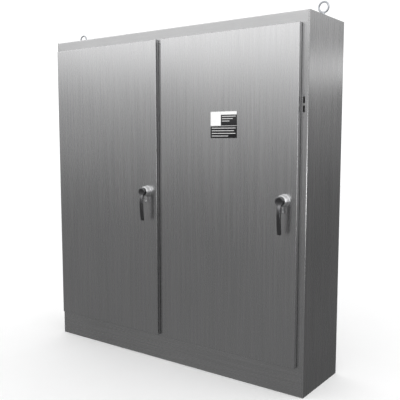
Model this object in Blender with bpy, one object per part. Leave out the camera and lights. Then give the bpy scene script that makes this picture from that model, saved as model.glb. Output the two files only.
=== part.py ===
"""Two-door floor-standing enclosure of bent stainless sheet, with subpanels and rod latches.

Metres, +Z up. +X is to the right of someone facing the doors, and +Y runs to the back.
The origin is the centre of the body's footprint, on the floor.
"""

import math

import bmesh
import bpy
from mathutils import Matrix, Vector

# Body
BODY_WIDTH = 1.9812
BODY_DEPTH = 0.4572
BODY_HEIGHT = 2.1336
SHEET = 0.0027
TOUCH = 0.0003
BEND_INSIDE = 0.003
BEND_STEPS = 3
CORNER_STRIP = 0.009

# Front layout
LEFT_MARGIN = 0.028
RIGHT_MARGIN = 0.0422
LEFT_DOOR_WIDTH = 0.918
DOOR_SPACING = 0.039
DOOR_BOTTOM = 0.170
HEADER_HEIGHT = 0.064
LIP_OFFSET = 0.018

# Doors
DOOR_DEPTH = 0.030
DOOR_REAR_CLEARANCE = 0.0028
DOOR_BEND = 0.003
GASKET_THICKNESS = 0.008
GASKET_WIDTH = 0.019
STIFFENER_WIDTH = 0.080
STIFFENER_DEPTH = 0.020
STIFFENER_MARGIN = 0.090
STIFFENER_FOOT = 0.018

# Hinges
KNUCKLE_RADIUS = 0.005
KNUCKLE_COUNT = 15
KNUCKLE_END_GAP = 0.0004
LEAF_THICKNESS = 0.0016
LEAF_LENGTH = 0.020
LEAF_RELIEF = 0.0007
CURL_SWEEP = math.radians(290)
CURL_STEPS = 10
PIN_RADIUS = 0.0030

# Handles, measured outwards from the door's face
HANDLE_HEIGHT = 1.115
HANDLE_BACKSET = 0.077
SPINDLE_RADIUS = 0.008
SPINDLE_CLEARANCE = 0.0005
BASE_RADIUS = 0.037
BASE_FLANGE = 0.005
BASE_LENGTH = 0.040
BASE_FRONT_RADIUS = 0.027
BASE_WAIST_SHARE = 0.6
HEAD_GAP = 0.002
HEAD_RADIUS = 0.027
HEAD_LENGTH = 0.018
LEVER_REACH = 0.186
LEVER_WIDTH = 0.024
LEVER_THICKNESS = 0.019
LEVER_KINK_DROP = 0.075
LEVER_KINK_RISE = 0.010
LEVER_CHAMFER = 0.006
LEVER_ROOT_SHARE = 0.8
LEVER_SHOULDER_SHARE = 0.45
LEVER_MIDDLE_RISE_SHARE = 0.7
LEVER_TIP_RISE_SHARE = 0.3
LEVER_TIP_WIDTH = 0.0216
LEVER_TIP_THICKNESS = 0.0162
LUG_THICKNESS = 0.008
LUG_DROP = 0.070
LUG_START = 0.008
LUG_DEPTH = 0.024
LUG_HOLE_RADIUS = 0.006

# Rod latches
PINION_PITCH_RADIUS = 0.015
PINION_TEETH = 12
TOOTH_OUTWARD = 0.0020
TOOTH_INWARD = 0.0029
TOOTH_SLACK = 0.0006
TIP_RELIEF = 1.3
TOOTH_ROOT_SHARE = 0.95
PRESSURE_ANGLE = math.radians(20)
RACK_TEETH = 6
ROD_WIDTH = 0.014
ROD_THICKNESS = 0.006
ROD_PLANE = 0.009
BRACKET_CLEARANCE = 0.0061
BRACKET_HEIGHT = 0.090
BRACKET_FOOT = 0.008
ROLLER_RADIUS = 0.011
ROLLER_WIDTH = 0.0115
ROLLER_BORE = 0.0035
AXLE_RADIUS = 0.003
FORK_WIDTH = 0.020
FORK_DEPTH = 0.014
FORK_BASE = 0.012
FORK_WALL = 0.004
ROLLER_EDGE_CLEARANCE = 0.003
GUIDE_CLEARANCE = 0.0008
GUIDE_HEIGHT = 0.030
GUIDE_FOOT = 0.009
GUIDE_MARGIN = 0.160

# Centre post
POST_DEPTH = 0.045
POST_WIDTH = 0.050
POST_OVERLAP = 0.032
POST_NUT_WIDTH = 0.014
POST_NUT_HEIGHT = 0.007
POST_STUD_RADIUS = 0.004
POST_STUD_LENGTH = 0.018

# Subpanels and their studs
PANEL_OUTER_CLEARANCE = 0.045
PANEL_CENTRE_CLEARANCE = 0.030
PANEL_BOTTOM_MARGIN = 0.150
PANEL_TOP_MARGIN = 0.150
PANEL_STANDOFF = 0.044
PANEL_FLANGE = 0.019
STUD_INSET = 0.050
CLEAR_AREA_MARGIN = 0.100
STUD_RADIUS = 0.0047
STUD_LENGTH = 0.022
COLLAR_RADIUS = 0.010
STUD_HOLE_CLEARANCE = 0.0012
STUD_NUT_WIDTH = 0.0160
STUD_NUT_HEIGHT = 0.0080
NUT_CLEARANCE = 0.0004

# Lifting eyes
EYE_SIDE_INSET = 0.027
EYE_HEIGHT = 0.050
EYE_RING_RADIUS = 0.0295
EYE_BAR_RADIUS = 0.0055
EYE_NECK_RADIUS = 0.008
EYE_COLLAR_RADIUS = 0.014
EYE_COLLAR_HEIGHT = 0.006
EYE_SHANK_RADIUS = 0.0063
EYE_SHANK_LENGTH = 0.020
EYE_HOLE_CLEARANCE = 0.0007
EYE_NUT_WIDTH = 0.019
EYE_NUT_HEIGHT = 0.010

# Operator cut-outs in the right flange
SLOT_INSET = 0.025
SLOT_WIDTH = 0.011
SLOT_HEIGHT = 0.036
SLOT_CENTRES = (1.6615, 1.6135)
FLANGE_HOLE_RADIUS = 0.0022
FLANGE_HOLE_CENTRES = (1.708, 1.690, 1.568)

# Nameplate, document pocket and ground stud
PLATE_WIDTH = 0.183
PLATE_HEIGHT = 0.154
PLATE_THICKNESS = 0.001
PLATE_TOP = 1.6116
PLATE_HINGE_DISTANCE = 0.3825
POCKET_WIDTH = 0.300
POCKET_HEIGHT = 0.240
POCKET_DEPTH = 0.022
POCKET_WALL = 0.002
POCKET_BOTTOM = 1.150
POCKET_HINGE_DISTANCE = 0.060
GROUND_STUD_RADIUS = 0.005
GROUND_STUD_LENGTH = 0.035
GROUND_STUD_HEIGHT = 0.300
GROUND_STUD_BASE_RADIUS = 0.012
GROUND_STUD_BASE_HEIGHT = 0.004

ROUND_STEPS = 20
SMALL_STEPS = 12
SMOOTH_ANGLE = math.radians(35)
CUTTER_OVERRUN = 0.010

# Worked out from the sizes above
LEFT_X = -BODY_WIDTH / 2
RIGHT_X = BODY_WIDTH / 2
FRONT_Y = -BODY_DEPTH / 2
BACK_Y = BODY_DEPTH / 2
DOOR_TOP = BODY_HEIGHT - HEADER_HEIGHT
DOOR_FACE_Y = FRONT_Y - DOOR_DEPTH
DOOR_INSIDE_Y = DOOR_FACE_Y + SHEET
LIP_HEIGHT = DOOR_DEPTH - SHEET - GASKET_THICKNESS - 2 * TOUCH
LIP_TOP = DOOR_TOP - LIP_OFFSET
LIP_BOTTOM = DOOR_BOTTOM + LIP_OFFSET
DOOR_SPANS = {
    "left": (LEFT_X + LEFT_MARGIN, LEFT_X + LEFT_MARGIN + LEFT_DOOR_WIDTH),
    "right": (LEFT_X + LEFT_MARGIN + LEFT_DOOR_WIDTH + DOOR_SPACING, RIGHT_X - RIGHT_MARGIN),
}
POST_CENTRE = (DOOR_SPANS["left"][1] + DOOR_SPANS["right"][0]) / 2
ROD_REACH = PINION_PITCH_RADIUS + TOOTH_INWARD + ROD_WIDTH
BRACKET_WIDTH = 2 * (ROD_REACH + BRACKET_CLEARANCE)
PANEL_FACE_Y = BACK_Y - SHEET - PANEL_STANDOFF - SHEET
INSIDE_HALF_WIDTH = BODY_WIDTH / 2 - SHEET - TOUCH


def hinge_axis(side):
    """The point in plan that a door turns about."""
    return Vector((DOOR_SPANS[side][0] - TOUCH - KNUCKLE_RADIUS, FRONT_Y - TOUCH - KNUCKLE_RADIUS, 0))


def handle_axis(side):
    """The point where a handle's axis meets its door's face."""
    return Vector((DOOR_SPANS[side][1] - HANDLE_BACKSET, DOOR_FACE_Y, HANDLE_HEIGHT))


def post_lips():
    """The outer faces of the centre post's two lips, from left to right."""
    return DOOR_SPANS["left"][1] - LIP_OFFSET, DOOR_SPANS["right"][0] + LIP_OFFSET


def post_stud(outward, depth):
    """A point on the axis of the weld stud that holds the post's top (1) or foot (-1), behind the front."""
    edge = LIP_TOP if outward > 0 else LIP_BOTTOM
    return Vector((POST_CENTRE, FRONT_Y + depth, edge + outward * POST_OVERLAP / 2))


# Shape helpers


def material(name, colour, roughness, metallic):
    """A plain Principled material."""
    made = bpy.data.materials.new(name)
    made.use_nodes = True
    shader = made.node_tree.nodes["Principled BSDF"]
    shader.inputs["Base Color"].default_value = (*colour, 1.0)
    shader.inputs["Roughness"].default_value = roughness
    shader.inputs["Metallic"].default_value = metallic
    return made


def finish(name, mesh_builder, look, pivot=None, smooth=False):
    """Turns a bmesh into a named object with its own material, its origin on the pivot's axis."""
    bmesh.ops.recalc_face_normals(mesh_builder, faces=mesh_builder.faces[:])
    mesh = bpy.data.meshes.new(name)
    mesh_builder.to_mesh(mesh)
    mesh_builder.free()
    made = bpy.data.objects.new(name, mesh)
    bpy.context.scene.collection.objects.link(made)
    mesh.materials.append(material(name, *look))
    if smooth:
        mesh.shade_smooth()
        mesh.set_sharp_from_angle(angle=SMOOTH_ANGLE)
    if pivot is not None:
        mesh.transform(Matrix.Translation(-pivot.location))
        made.parent = pivot
    return made


def pivot_at(name, place):
    """An empty on a joint's axis, which its moving pieces are parented to."""
    made = bpy.data.objects.new(name, None)
    made.location = place
    bpy.context.scene.collection.objects.link(made)
    return made


def box(low, high):
    """A block between two corners."""
    built = bmesh.new()
    size = [high[axis] - low[axis] for axis in range(3)]
    centre = [(high[axis] + low[axis]) / 2 for axis in range(3)]
    placing = Matrix.Translation(centre) @ Matrix.Diagonal((*size, 1))
    bmesh.ops.create_cube(built, size=1, matrix=placing)
    return built


def prism(outline, start, end, axes="xyz"):
    """An outline in the plane of the first two axes, extruded along the third from start to end."""
    built = bmesh.new()
    order = ["xyz".index(axis) for axis in axes]

    def place(point, along):
        spot = [0.0, 0.0, 0.0]
        spot[order[0]], spot[order[1]], spot[order[2]] = point[0], point[1], along
        return spot

    face = built.faces.new([built.verts.new(place(point, start)) for point in outline])
    pushed = bmesh.ops.extrude_face_region(built, geom=[face])
    moved = [item for item in pushed["geom"] if isinstance(item, bmesh.types.BMVert)]
    travel = Vector(place((0, 0), end - start))
    bmesh.ops.translate(built, verts=moved, vec=travel)
    return built


def turned(profile, centre, axis, steps):
    """A profile of (radius, distance along the axis) points spun round an axis through a centre.

    A profile that starts and ends on the axis makes a solid, and a closed one makes a ring.
    """
    direction = Vector(axis)
    sideways = direction.orthogonal().normalized()
    built = bmesh.new()
    points = [Vector(centre) + sideways * radius + direction * along for radius, along in profile]
    verts = [built.verts.new(point) for point in points]
    edges = [built.edges.new(pair) for pair in zip(verts, verts[1:])]
    if profile[0][0] > 0:
        edges.append(built.edges.new((verts[-1], verts[0])))
    bmesh.ops.spin(
        built, geom=verts + edges, cent=centre, axis=direction, angle=math.tau, steps=steps, use_merge=True
    )
    bmesh.ops.remove_doubles(built, verts=built.verts[:], dist=1e-6)
    return built


def rod(radius, start, end, steps=SMALL_STEPS):
    """A round bar between two points."""
    run = Vector(end) - Vector(start)
    return turned([(0, 0), (radius, 0), (radius, run.length), (0, run.length)], start, run.normalized(), steps)


def ring(outer, inner, start, end, steps=SMALL_STEPS):
    """A round bar between two points with a bore along it."""
    run = Vector(end) - Vector(start)
    profile = [(inner, 0), (outer, 0), (outer, run.length), (inner, run.length)]
    return turned(profile, start, run.normalized(), steps)


def joined(builders):
    """One bmesh that holds several."""
    whole = bmesh.new()
    for part in builders:
        mesh = bpy.data.meshes.new("joined")
        part.to_mesh(mesh)
        part.free()
        whole.from_mesh(mesh)
        bpy.data.meshes.remove(mesh)
    return whole


def bent_outline(path, thickness=SHEET, inside=BEND_INSIDE, steps=BEND_STEPS):
    """The outline of sheet bent along a path, with its thickness on the left of the path."""
    points = [Vector(point) for point in path]

    def left_of(direction):
        return Vector((-direction.y, direction.x))

    first = (points[1] - points[0]).normalized()
    face = [points[0]]
    back = [points[0] + left_of(first) * thickness]
    for before, corner, after in zip(points, points[1:], points[2:]):
        arriving = (corner - before).normalized()
        leaving = (after - corner).normalized()
        side = 1 if arriving.cross(leaving) > 0 else -1
        turn = arriving.angle(leaving)
        face_radius = inside + (thickness if side > 0 else 0)
        normal = left_of(arriving)
        centre = corner - arriving * face_radius * math.tan(turn / 2) + normal * side * face_radius
        for step in range(steps + 1):
            angle = side * turn * step / steps
            spoke = Matrix.Rotation(angle, 2) @ normal
            face.append(centre - spoke * side * face_radius)
            back.append(centre - spoke * side * (face_radius - side * thickness))
    last = (points[-1] - points[-2]).normalized()
    face.append(points[-1])
    back.append(points[-1] + left_of(last) * thickness)
    return [tuple(point) for point in face + back[::-1]]


def mirrored(outline):
    """An outline turned over left for right."""
    return [(-x, y) for x, y in reversed(outline)]


def cutter(name, built):
    """A helper object that only cuts or joins others."""
    bmesh.ops.recalc_face_normals(built, faces=built.faces[:])
    mesh = bpy.data.meshes.new(name)
    built.to_mesh(mesh)
    built.free()
    made = bpy.data.objects.new(name, mesh)
    made.hide_render = True
    made.display_type = "WIRE"
    bpy.context.scene.collection.objects.link(made)
    return made


def combine(target, operation, *builders):
    """Cuts shapes from an object (DIFFERENCE) or welds them to it (UNION), one after another."""
    for number, built in enumerate(builders):
        tool = cutter(f"{target.name}.{operation.lower()}.{len(target.modifiers) + number}", built)
        step = target.modifiers.new(tool.name, "BOOLEAN")
        step.operation = operation
        step.solver = "EXACT"
        step.object = tool
    return target


def scored(target, normal, places, in_triangles=False):
    """Applies an object's cuts, then splits its flat faces along planes, where they may be cut in triangles first.

    The area between two of the planes then has faces of its own, clear of what stands beyond them.
    """
    evaluated = target.evaluated_get(bpy.context.evaluated_depsgraph_get())
    target.data = bpy.data.meshes.new_from_object(evaluated)
    target.modifiers.clear()
    built = bmesh.new()
    built.from_mesh(target.data)
    if in_triangles:
        bmesh.ops.triangulate(built, faces=built.faces[:])
    for place in places:
        everything = built.verts[:] + built.edges[:] + built.faces[:]
        bmesh.ops.bisect_plane(built, geom=everything, plane_co=Vector(normal) * place, plane_no=normal)
    built.to_mesh(target.data)
    built.free()
    return target


def hexagon(centre, width, bore, start, end, axis):
    """A six-sided nut round an axis along X, Y or Z, from start to end."""
    corner = width / 2 / math.cos(math.pi / 6)
    flat = [name for name in "xyz" if name != axis]
    middle = [centre["xyz".index(name)] for name in flat]
    points = [(middle[0] + corner * math.cos(k * math.pi / 3), middle[1] + corner * math.sin(k * math.pi / 3))
              for k in range(6)]
    body = prism(points, start, end, axes="".join(flat) + axis)
    low, high = Vector(centre), Vector(centre)
    low["xyz".index(axis)] = start - CUTTER_OVERRUN
    high["xyz".index(axis)] = end + CUTTER_OVERRUN
    return body, rod(bore, low, high)


# Looks: colour, roughness, metallic
STEEL = ((0.52, 0.52, 0.53), 0.34, 1.0)
BRIGHT = ((0.80, 0.80, 0.80), 0.12, 1.0)
ZINC = ((0.62, 0.63, 0.64), 0.40, 1.0)
RUBBER = ((0.03, 0.03, 0.03), 0.85, 0.0)
PAINT = ((0.82, 0.82, 0.80), 0.45, 0.0)
PLASTIC = ((0.10, 0.10, 0.11), 0.50, 0.0)
LABEL = ((0.03, 0.03, 0.03), 0.45, 0.0)


# Body


def side_panel(side):
    """A side wall bent round the front corner into its flange, and out again into the sealing lip."""
    right = side == "right"
    margin = RIGHT_MARGIN if right else LEFT_MARGIN
    lip = RIGHT_X - margin - LIP_OFFSET
    path = [(lip, FRONT_Y - LIP_HEIGHT), (lip, FRONT_Y), (RIGHT_X, FRONT_Y), (RIGHT_X, BACK_Y)]
    outline = bent_outline(path)
    panel = finish(f"{side}_side_panel", prism(outline if right else mirrored(outline), 0, BODY_HEIGHT), STEEL)
    strip = RIGHT_X - CORNER_STRIP
    reach = FRONT_Y - LIP_HEIGHT - CUTTER_OVERRUN
    behind = FRONT_Y + SHEET + BEND_INSIDE
    inner = lip - SHEET - CUTTER_OVERRUN
    over = BODY_HEIGHT + CUTTER_OVERRUN
    notches = [
        ((inner, reach, LIP_TOP), (strip, FRONT_Y - TOUCH, over)),
        ((inner, reach, DOOR_TOP), (strip, behind, over)),
        ((inner, reach, -CUTTER_OVERRUN), (strip, FRONT_Y - TOUCH, LIP_BOTTOM)),
        ((inner, reach, -CUTTER_OVERRUN), (strip, behind, DOOR_BOTTOM)),
    ]
    for low, high in notches:
        if not right:
            low, high = (-high[0], low[1], low[2]), (-low[0], high[1], high[2])
        combine(panel, "DIFFERENCE", box(low, high))
    return panel


def operator_cutouts(panel):
    """The slots and small holes in the right flange for a disconnect operator."""
    x = RIGHT_X - SLOT_INSET
    front, rear = FRONT_Y - CUTTER_OVERRUN, FRONT_Y + SHEET + TOUCH
    for centre in SLOT_CENTRES:
        half = SLOT_HEIGHT / 2
        slot = box((x - SLOT_WIDTH / 2, front, centre - half), (x + SLOT_WIDTH / 2, rear, centre + half))
        combine(panel, "DIFFERENCE", slot)
    for centre in FLANGE_HOLE_CENTRES:
        combine(panel, "DIFFERENCE", rod(FLANGE_HOLE_RADIUS, (x, front, centre), (x, rear, centre)))


def crosswise_panel(name, path, seam, lip, outward):
    """The roof or the floor: sheet across the body that is bent into the front and out into the lip.

    Its front ends at the corner strips, and past the seam, beside the door opening, at the side lips.
    Its lip is left out in front of the centre post, where the doors' edges run past it.
    """
    outline = bent_outline(path)
    panel = finish(name, prism(outline, -INSIDE_HALF_WIDTH, INSIDE_HALF_WIDTH, axes="yzx"), STEEL)
    strip = RIGHT_X - CORNER_STRIP - TOUCH
    reach = FRONT_Y - LIP_HEIGHT - CUTTER_OVERRUN
    behind = FRONT_Y + SHEET + BEND_INSIDE + TOUCH
    edge = BODY_WIDTH
    past = seam + outward * TOUCH
    beyond = lip - outward * (SHEET + CUTTER_OVERRUN)
    low_z, high_z = min(past, beyond), max(past, beyond)
    for sign, margin in ((1, RIGHT_MARGIN), (-1, LEFT_MARGIN)):
        side_lip = RIGHT_X - margin - LIP_OFFSET - SHEET - TOUCH
        for start, low, high in ((strip, -BODY_HEIGHT, 2 * BODY_HEIGHT), (side_lip, low_z, high_z)):
            ends = sorted((sign * start, sign * edge))
            combine(panel, "DIFFERENCE", box((ends[0], reach, low), (ends[1], behind, high)))
    left_lip, right_lip = post_lips()
    combine(panel, "DIFFERENCE", box((left_lip, reach, low_z), (right_lip, FRONT_Y - TOUCH, high_z)))
    stud = rod(POST_STUD_RADIUS, post_stud(outward, SHEET / 2), post_stud(outward, SHEET + POST_STUD_LENGTH))
    return combine(panel, "UNION", stud)


def roof_panel():
    path = [(BACK_Y - SHEET - TOUCH, BODY_HEIGHT), (FRONT_Y, BODY_HEIGHT), (FRONT_Y, LIP_TOP),
            (FRONT_Y - LIP_HEIGHT, LIP_TOP)]
    panel = crosswise_panel("roof_panel", path, DOOR_TOP, LIP_TOP, 1)
    for sign in (-1, 1):
        x = sign * (RIGHT_X - EYE_SIDE_INSET)
        low, high = (x, 0, BODY_HEIGHT - CUTTER_OVERRUN), (x, 0, BODY_HEIGHT + CUTTER_OVERRUN)
        combine(panel, "DIFFERENCE", rod(EYE_SHANK_RADIUS + EYE_HOLE_CLEARANCE, low, high))
    clear_area = INSIDE_HALF_WIDTH - CLEAR_AREA_MARGIN
    return scored(panel, (1, 0, 0), (-clear_area, clear_area), in_triangles=True)


def floor_panel():
    path = [(FRONT_Y - LIP_HEIGHT, LIP_BOTTOM), (FRONT_Y, LIP_BOTTOM), (FRONT_Y, 0),
            (BACK_Y - SHEET - TOUCH, 0)]
    return crosswise_panel("floor_panel", path, DOOR_BOTTOM, LIP_BOTTOM, -1)


def panel_span(side):
    """The left and right edges of a bay's subpanel."""
    if side == "left":
        return LEFT_X + PANEL_OUTER_CLEARANCE, POST_CENTRE - PANEL_CENTRE_CLEARANCE
    return POST_CENTRE + PANEL_CENTRE_CLEARANCE, RIGHT_X - PANEL_OUTER_CLEARANCE


def stud_places(side):
    """The four stud positions of a bay, as (corner name, x, z)."""
    low, high = panel_span(side)
    places = []
    for row, z in (("lower", PANEL_BOTTOM_MARGIN + STUD_INSET),
                   ("upper", BODY_HEIGHT - PANEL_TOP_MARGIN - STUD_INSET)):
        for column, x in (("left", low + STUD_INSET), ("right", high - STUD_INSET)):
            places.append((f"{row}_{column}", x, z))
    return places


def back_panel():
    """The back wall with a collar stud welded on for each corner of each subpanel."""
    wall = box((-INSIDE_HALF_WIDTH, BACK_Y - SHEET, 0), (INSIDE_HALF_WIDTH, BACK_Y, BODY_HEIGHT))
    panel = finish("back_panel", wall, STEEL)
    collar_end = PANEL_STANDOFF - TOUCH
    stud_end = PANEL_STANDOFF + SHEET + STUD_LENGTH
    root = -SHEET / 2
    profile = [(0, root), (COLLAR_RADIUS, root), (COLLAR_RADIUS, collar_end), (STUD_RADIUS, collar_end),
               (STUD_RADIUS, stud_end), (0, stud_end)]
    studs = [turned(profile, (x, BACK_Y - SHEET, z), (0, -1, 0), SMALL_STEPS)
             for side in DOOR_SPANS for _, x, z in stud_places(side)]
    return combine(panel, "UNION", joined(studs))


def subpanel(side):
    """A mounting panel with its side edges turned back."""
    low, high = panel_span(side)
    rear = PANEL_FACE_Y + PANEL_FLANGE
    path = [(low, rear), (low, PANEL_FACE_Y), (high, PANEL_FACE_Y), (high, rear)]
    bottom, top = PANEL_BOTTOM_MARGIN, BODY_HEIGHT - PANEL_TOP_MARGIN
    panel = finish(f"{side}_subpanel", prism(bent_outline(path), bottom, top), PAINT)
    for corner, x, z in stud_places(side):
        hole = rod(STUD_RADIUS + STUD_HOLE_CLEARANCE, (x, PANEL_FACE_Y - CUTTER_OVERRUN, z),
                   (x, PANEL_FACE_Y + CUTTER_OVERRUN, z))
        combine(panel, "DIFFERENCE", hole)
        face = PANEL_FACE_Y - TOUCH
        body, bore = hexagon((x, face, z), STUD_NUT_WIDTH, STUD_RADIUS + NUT_CLEARANCE, face - STUD_NUT_HEIGHT,
                             face, "y")
        nut = finish(f"{side}_panel_nut_{corner}", body, ZINC)
        combine(nut, "DIFFERENCE", bore)
    scored(panel, (0, 0, 1), (bottom + CLEAR_AREA_MARGIN, top - CLEAR_AREA_MARGIN))


def centre_post():
    """The removable post: a web with a lip for each door's seal, and a deep channel behind it."""
    left_lip, right_lip = post_lips()
    front = FRONT_Y - LIP_HEIGHT
    outline = bent_outline([(left_lip, front), (left_lip, FRONT_Y), (right_lip, FRONT_Y), (right_lip, front)])
    low = LIP_BOTTOM + SHEET + TOUCH
    high = LIP_TOP - SHEET - TOUCH
    post = finish("centre_post", prism(outline, low, high), STEEL)
    start = FRONT_Y + SHEET + TOUCH
    end = FRONT_Y + SHEET + POST_DEPTH
    left, right = POST_CENTRE - POST_WIDTH / 2, POST_CENTRE + POST_WIDTH / 2
    channel = bent_outline([(left, end), (left, start), (right, start), (right, end)])
    tongue = box((left + SHEET, FRONT_Y + SHEET / 2, low + SHEET),
                 (right - SHEET, start + SHEET / 2, high - SHEET))
    combine(post, "UNION", prism(channel, LIP_BOTTOM - POST_OVERLAP, LIP_TOP + POST_OVERLAP), tongue)
    for end_name, outward in (("upper", 1), ("lower", -1)):
        hole = rod(POST_STUD_RADIUS + NUT_CLEARANCE, post_stud(outward, SHEET / 2),
                   post_stud(outward, POST_DEPTH))
        combine(post, "DIFFERENCE", hole)
        face = start + SHEET + TOUCH
        body, bore = hexagon(post_stud(outward, 0), POST_NUT_WIDTH, POST_STUD_RADIUS + NUT_CLEARANCE, face,
                             face + POST_NUT_HEIGHT, "y")
        combine(finish(f"post_nut_{end_name}", body, ZINC), "DIFFERENCE", bore)


def lifting_eye(side):
    """A ring on a neck and collar, with a shank through the roof and a nut under it."""
    x = (LEFT_X + EYE_SIDE_INSET) if side == "left" else (RIGHT_X - EYE_SIDE_INSET)
    base = BODY_HEIGHT + TOUCH
    ring_centre = BODY_HEIGHT + EYE_HEIGHT
    steps = [k * math.tau / 8 for k in range(8)]
    section = [(EYE_RING_RADIUS + EYE_BAR_RADIUS * math.cos(a), EYE_BAR_RADIUS * math.sin(a)) for a in steps]
    eye = finish(f"lifting_eye_{side}", turned(section, (x, 0, ring_centre), (0, 1, 0), ROUND_STEPS), ZINC,
                 smooth=True)
    neck_top = ring_centre - EYE_RING_RADIUS
    below = BODY_HEIGHT - SHEET - EYE_SHANK_LENGTH
    stem = [(0, 0), (EYE_SHANK_RADIUS, 0), (EYE_SHANK_RADIUS, base - below), (EYE_COLLAR_RADIUS, base - below),
            (EYE_COLLAR_RADIUS, base + EYE_COLLAR_HEIGHT - below), (EYE_NECK_RADIUS, neck_top - below),
            (0, neck_top - below)]
    combine(eye, "UNION", turned(stem, (x, 0, below), (0, 0, 1), SMALL_STEPS))
    top = BODY_HEIGHT - SHEET - TOUCH
    body, bore = hexagon((x, 0, top), EYE_NUT_WIDTH, EYE_SHANK_RADIUS + NUT_CLEARANCE, top - EYE_NUT_HEIGHT, top,
                         "z")
    combine(finish(f"lifting_eye_nut_{side}", body, ZINC), "DIFFERENCE", bore)


def ground_stud():
    """A grounding stud on the inside of the left wall, near the floor."""
    wall = LEFT_X + SHEET + TOUCH
    profile = [(0, 0), (GROUND_STUD_BASE_RADIUS, 0), (GROUND_STUD_BASE_RADIUS, GROUND_STUD_BASE_HEIGHT),
               (GROUND_STUD_RADIUS, GROUND_STUD_BASE_HEIGHT), (GROUND_STUD_RADIUS, GROUND_STUD_LENGTH),
               (0, GROUND_STUD_LENGTH)]
    finish("ground_stud", turned(profile, (wall, 0, GROUND_STUD_HEIGHT), (1, 0, 0), SMALL_STEPS), ZINC)


# Doors


def door(side, pivot):
    """A door pan with its edges returned towards the body, and a hole for the handle's spindle."""
    left, right = DOOR_SPANS[side]
    rear = FRONT_Y - DOOR_REAR_CLEARANCE
    pan = finish(f"{side}_door", box((left, DOOR_FACE_Y, DOOR_BOTTOM), (right, rear, DOOR_TOP)), STEEL, pivot)
    edge = pan.modifiers.new("bend", "BEVEL")
    edge.width = DOOR_BEND
    edge.segments = 2
    edge.limit_method = "WEIGHT"
    weights = pan.data.attributes.new("bevel_weight_edge", "FLOAT", "EDGE")
    local_rear = rear - pivot.location.y
    for index, line in enumerate(pan.data.edges):
        ends = [pan.data.vertices[vertex].co.y for vertex in line.vertices]
        weights.data[index].value = 0.0 if all(abs(y - local_rear) < TOUCH for y in ends) else 1.0
    hollow = box((left + SHEET, DOOR_INSIDE_Y, DOOR_BOTTOM + SHEET), (right - SHEET, FRONT_Y, DOOR_TOP - SHEET))
    axis = handle_axis(side)
    hole = rod(SPINDLE_RADIUS + SPINDLE_CLEARANCE, axis + Vector((0, -CUTTER_OVERRUN, 0)),
               axis + Vector((0, CUTTER_OVERRUN, 0)))
    combine(pan, "DIFFERENCE", hollow, hole)


def gasket(side, pivot):
    """A rubber frame on the door's inside, where the lip round the opening meets it."""
    left, right = DOOR_SPANS[side]
    reach = LIP_OFFSET + SHEET / 2 - GASKET_WIDTH / 2
    front = DOOR_INSIDE_Y + TOUCH
    rear = front + GASKET_THICKNESS
    outer = ((left + reach, front, DOOR_BOTTOM + reach), (right - reach, rear, DOOR_TOP - reach))
    frame = finish(f"{side}_door_gasket", box(*outer), RUBBER, pivot)
    far = reach + GASKET_WIDTH
    window = box((left + far, front - CUTTER_OVERRUN, DOOR_BOTTOM + far),
                 (right - far, rear + CUTTER_OVERRUN, DOOR_TOP - far))
    combine(frame, "DIFFERENCE", window)


def hat_outline(centre, width, foot, base, crown):
    """The outline in plan of sheet bent into a hat, by the width and the front face of its crown inside."""
    left, right = centre - width / 2, centre + width / 2
    path = [(left - foot, base), (left, base), (left, crown), (right, crown), (right, base),
            (right + foot, base)]
    return bent_outline(path, inside=BEND_INSIDE / 2, steps=1)


def stiffener(side, pivot):
    """An upright hat section on the door's inside, half way across."""
    left, right = DOOR_SPANS[side]
    base = DOOR_INSIDE_Y + TOUCH
    outline = hat_outline((left + right) / 2, STIFFENER_WIDTH, STIFFENER_FOOT, base, base + STIFFENER_DEPTH)
    low, high = DOOR_BOTTOM + STIFFENER_MARGIN, DOOR_TOP - STIFFENER_MARGIN
    finish(f"{side}_door_stiffener", prism(outline, low, high), STEEL, pivot)


def arc(centre, radius, start, sweep, steps):
    """Points along an arc in plan."""
    return [(centre.x + radius * math.cos(start + sweep * k / steps),
             centre.y + radius * math.sin(start + sweep * k / steps)) for k in range(steps + 1)]


def curl_outline(centre, start, tail):
    """A leaf's edge rolled round the pin: a straight tail that meets the curl at its start angle."""
    inner = KNUCKLE_RADIUS - LEAF_THICKNESS
    outside = arc(centre, KNUCKLE_RADIUS, start, CURL_SWEEP, CURL_STEPS)
    inside = arc(centre, inner, start, CURL_SWEEP, CURL_STEPS)[::-1]
    back = Vector((math.sin(start), -math.cos(start))) * tail
    first, last = Vector(outside[0]) + back, Vector(inside[-1]) + back
    return [tuple(first), *outside, *inside, tuple(last)]


def hinge_leaf(name, side, start, first_knuckle, pivot):
    """A leaf plate with every second knuckle rolled on it, from the first one it has."""
    centre = hinge_axis(side)
    near = KNUCKLE_RADIUS + LEAF_RELIEF
    along = Vector((math.sin(start), -math.cos(start), 0))
    outward = Vector((math.cos(start), math.sin(start), 0))
    corners = [centre + along * near + outward * (KNUCKLE_RADIUS - LEAF_THICKNESS),
               centre + along * LEAF_LENGTH + outward * KNUCKLE_RADIUS]
    low = Vector([min(values) for values in zip(*corners)])
    high = Vector([max(values) for values in zip(*corners)])
    low.z, high.z = DOOR_BOTTOM, DOOR_TOP
    plate = finish(name, box(low, high), STEEL, pivot)
    pitch = (DOOR_TOP - DOOR_BOTTOM) / KNUCKLE_COUNT
    outline = curl_outline(centre, start, near + LEAF_THICKNESS)
    knuckles = [prism(outline, DOOR_BOTTOM + index * pitch + KNUCKLE_END_GAP,
                      DOOR_BOTTOM + (index + 1) * pitch - KNUCKLE_END_GAP)
                for index in range(first_knuckle, KNUCKLE_COUNT, 2)]
    return combine(plate, "UNION", joined(knuckles))


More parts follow.
